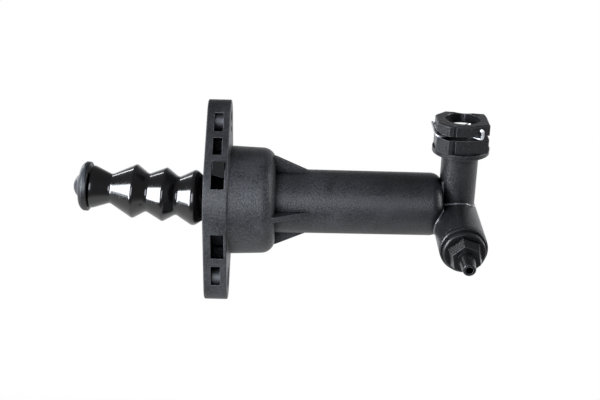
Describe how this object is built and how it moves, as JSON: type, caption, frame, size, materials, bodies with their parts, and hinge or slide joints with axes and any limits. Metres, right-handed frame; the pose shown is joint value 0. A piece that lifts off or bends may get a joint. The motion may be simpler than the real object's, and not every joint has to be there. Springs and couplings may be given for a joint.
{
  "type": "clutch slave cylinder",
  "caption": "Hydraulic clutch slave cylinder: flanged moulded body with a booted push rod, a clipped pipe port and a bleed screw.",
  "frame": {"origin": "centre of the flange's mounting face, on the cylinder axis, midway between the bolt holes", "axes": "+X along the cylinder towards the pipe port, +Z along the flange through both bolt holes, +Y to the flange's side"},
  "size_m": [0.179, 0.0684, 0.087],
  "materials": {
    "glass_filled_nylon": "satin, fine grain",
    "zinc_plated_steel": "zinc plated",
    "black_nylon": "satin",
    "spring_steel": "drawn wire",
    "turned_aluminium": "turned",
    "seal_rubber": "smooth",
    "guide_ring_plastic": "smooth",
    "push_rod_steel": "ground",
    "grey_nylon": "satin",
    "boot_rubber": "glossy",
    "bright_clip_wire": "bright",
    "bleed_bush_nylon": "satin",
    "bleed_screw_nylon": "satin"
  },
  "bodies": {
    "housing": {"housing": "glass_filled_nylon", "upper_bolt_sleeve": "zinc_plated_steel", "lower_bolt_sleeve": "zinc_plated_steel", "boot_retainer": "black_nylon", "stop_ring": "spring_steel", "bleed_bush": "bleed_bush_nylon", "bleed_bush_o_ring": "seal_rubber"},
    "piston": {"piston": "turned_aluminium", "piston_guide_ring": "guide_ring_plastic", "secondary_seal": "seal_rubber", "pressure_cup": "seal_rubber", "spring_seat": "black_nylon", "preload_spring": "spring_steel", "ball_retainer": "black_nylon"},
    "rod": {"push_rod": "push_rod_steel", "rod_end_cap": "grey_nylon", "boot": "boot_rubber"},
    "clip": {"retaining_clip": "bright_clip_wire"},
    "bleed_seal": {"bleed_o_ring": "seal_rubber"},
    "bleed_screw": {"bleed_screw": "bleed_screw_nylon"}
  },
  "joints": [
    {"name": "piston_slide", "type": "slide", "parent": "housing", "child": "piston", "axis": [1, 0, 0], "range_m": [0, 0.025], "stiffness_N_per_m": 1000, "springref_m": -0.03, "deforming": ["boot", "preload_spring"]},
    {"name": "rod_pitch", "type": "hinge", "parent": "piston", "child": "rod", "pos_m": [0.02, 0, 0], "axis": [0, 1, 0], "range_deg": [-8.5, 1.5], "deforming": ["boot"]},
    {"name": "clip_pull", "type": "slide", "parent": "housing", "child": "clip", "axis": [-1, 0, 0], "range_m": [0, 0.0022]},
    {"name": "bleed_advance", "type": "slide", "parent": "housing", "child": "bleed_seal", "axis": [0, -0.9135, -0.4067], "range_m": [0, 0.001]},
    {"name": "bleed_turn", "type": "hinge", "parent": "bleed_seal", "child": "bleed_screw", "pos_m": [0.1086, -0.02484, -0.01796], "axis": [0, -0.9135, -0.4067], "range_deg": [0, 370]}
  ],
  "couplings": [
    {"joint": "bleed_turn", "follows": "bleed_advance", "rad_per_m": 6283.2}
  ]
}
